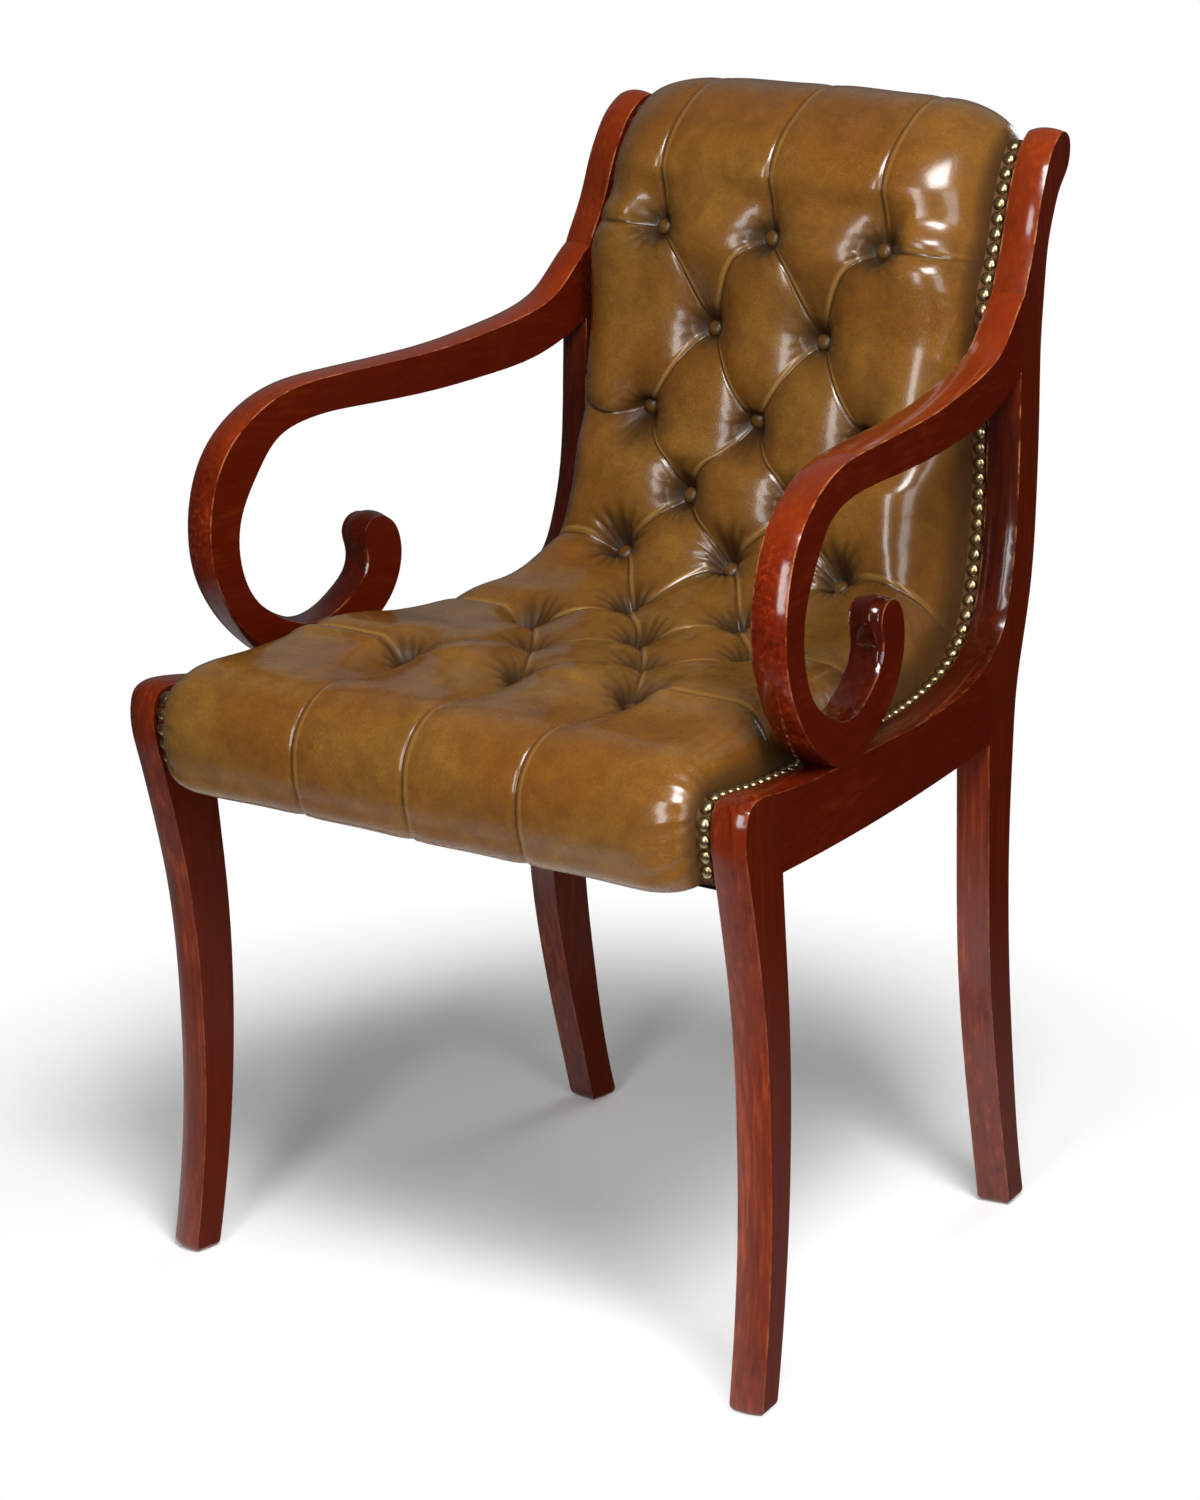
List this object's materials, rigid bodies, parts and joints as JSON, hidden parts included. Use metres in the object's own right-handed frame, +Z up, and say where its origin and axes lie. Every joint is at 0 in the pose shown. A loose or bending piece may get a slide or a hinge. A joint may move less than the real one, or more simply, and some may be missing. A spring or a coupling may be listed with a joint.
{
  "type": "dining armchair",
  "caption": "Scroll-arm wooden dining armchair with sabre legs, toed-in side frames and a deep-buttoned leather seat and back edged with brass nails.",
  "frame": {"origin": "on the floor, under the middle of the overall length and width", "axes": "+Z up, the sitter faces -Y, +X towards the sitter's left"},
  "size_m": [0.578, 0.6088, 0.8826],
  "materials": {
    "show_wood": "gloss lacquer",
    "frame_wood": "bare planed",
    "leather": "rubbed semi-gloss",
    "brass": "antiqued",
    "steel": "zinc plated",
    "webbing": "woven jute",
    "dust_cloth": "matt cloth",
    "stuffing": "open-cell foam"
  },
  "bodies": {
    "root": {"arm_left": "show_wood", "arm_right": "show_wood", "back_foam": "stuffing", "back_liner_left": "frame_wood", "back_liner_right": "frame_wood", "back_pad": "leather", "back_webbing": "webbing", "buttons": "leather", "corner_screws": "steel", "crest_rail": "frame_wood", "dust_cover": "dust_cloth", "frame_dowels_left": "frame_wood", "frame_dowels_right": "frame_wood", "front_corner_block_left": "frame_wood", "front_corner_block_right": "frame_wood", "front_leg_left": "show_wood", "front_leg_right": "show_wood", "front_seat_rail": "frame_wood", "lower_back_rail": "frame_wood", "nails_left": "brass", "nails_right": "brass", "outside_back": "leather", "rail_dowels_left": "frame_wood", "rail_dowels_right": "frame_wood", "rear_corner_block_left": "frame_wood", "rear_corner_block_right": "frame_wood", "rear_leg_left": "show_wood", "rear_leg_right": "show_wood", "rear_seat_rail": "show_wood", "seat_foam": "stuffing", "seat_liner_left": "frame_wood", "seat_liner_right": "frame_wood", "seat_pad": "leather", "seat_webbing_cross": "webbing", "seat_webbing_long": "webbing", "side_rail_left": "show_wood", "side_rail_right": "show_wood"}
  },
  "joints": []
}
